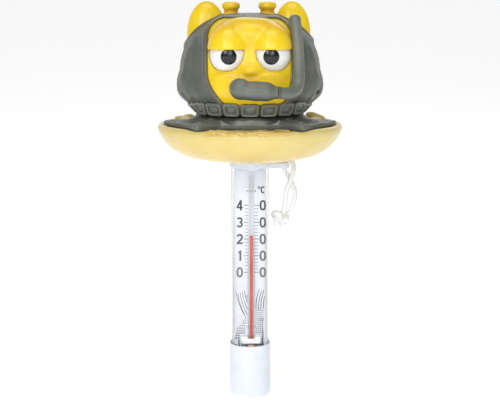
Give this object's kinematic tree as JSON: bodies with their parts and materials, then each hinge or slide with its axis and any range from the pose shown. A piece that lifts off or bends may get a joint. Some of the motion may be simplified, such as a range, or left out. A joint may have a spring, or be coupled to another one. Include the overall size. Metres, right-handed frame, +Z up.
{
  "type": "floating pool thermometer",
  "caption": "Floating pool thermometer: a diver animal figure on a round float dish, a clear stem with a Celsius scale and red spirit column below, and a short tie cord with a knot.",
  "frame": {"origin": "on the stem axis at the waterline, inside the height of the float dish", "axes": "+Z up along the stem axis, -Y is the side the figure faces and the scale is read from, +X is the side where the cord hangs"},
  "size_m": [0.0898, 0.0899, 0.1957],
  "materials": {
    "sand_plastic": "glossy moulded cream-yellow plastic",
    "sand_texture": "rippled sand texture with brown wash in its hollows",
    "grey_vinyl": "satin grey vinyl",
    "yellow_vinyl": "glossy yellow vinyl, shaded orange in its hollows",
    "eye_white": "glossy white with painted black pupils",
    "white_plastic": "satin white moulded plastic",
    "seal_rubber": "matt black rubber",
    "clear_plastic": "clear polished plastic",
    "printed_card": "white card printed in dark grey",
    "capillary_glass": "clear thick-walled glass",
    "red_spirit": "red dyed spirit seen through glass",
    "tie_plastic": "clear-white plastic thread",
    "foam": "soft white foam",
    "ballast_steel": "turned steel",
    "white_cord": "braided white cord"
  },
  "bodies": {
    "thermometer": {"float_dish": "sand_plastic", "sand_deck": "sand_texture", "sand_curl_left": "sand_texture", "sand_curl_right": "sand_texture", "diver_cape": "grey_vinyl", "hood": "grey_vinyl", "bead_collar": "grey_vinyl", "snorkel_tube": "grey_vinyl", "snorkel_mouthpiece": "grey_vinyl", "head": "yellow_vinyl", "ear_left": "yellow_vinyl", "ear_right": "yellow_vinyl", "horn_left": "yellow_vinyl", "horn_right": "yellow_vinyl", "eye_left": "eye_white", "eye_right": "eye_white", "stem_collar": "white_plastic", "bottom_cap": "white_plastic", "bulb_saddle": "white_plastic", "seal_ring": "seal_rubber", "clear_tube": "clear_plastic", "scale_card": "printed_card", "capillary_glass": "capillary_glass", "bulb_spirit": "red_spirit", "capillary_tie_upper": "tie_plastic", "capillary_tie_lower": "tie_plastic", "foam_pad": "foam", "ballast_slug": "ballast_steel", "cord_bight": "white_cord", "cord_leg_a": "white_cord", "cord_leg_b": "white_cord", "cord_knot": "white_cord"},
    "spirit": {"spirit_column": "red_spirit"}
  },
  "joints": [
    {"name": "spirit_level", "type": "slide", "parent": "thermometer", "child": "spirit", "axis": [0, 0, 1], "range_m": [-0.0188, 0.0147], "deforming": ["spirit_column"]}
  ]
}
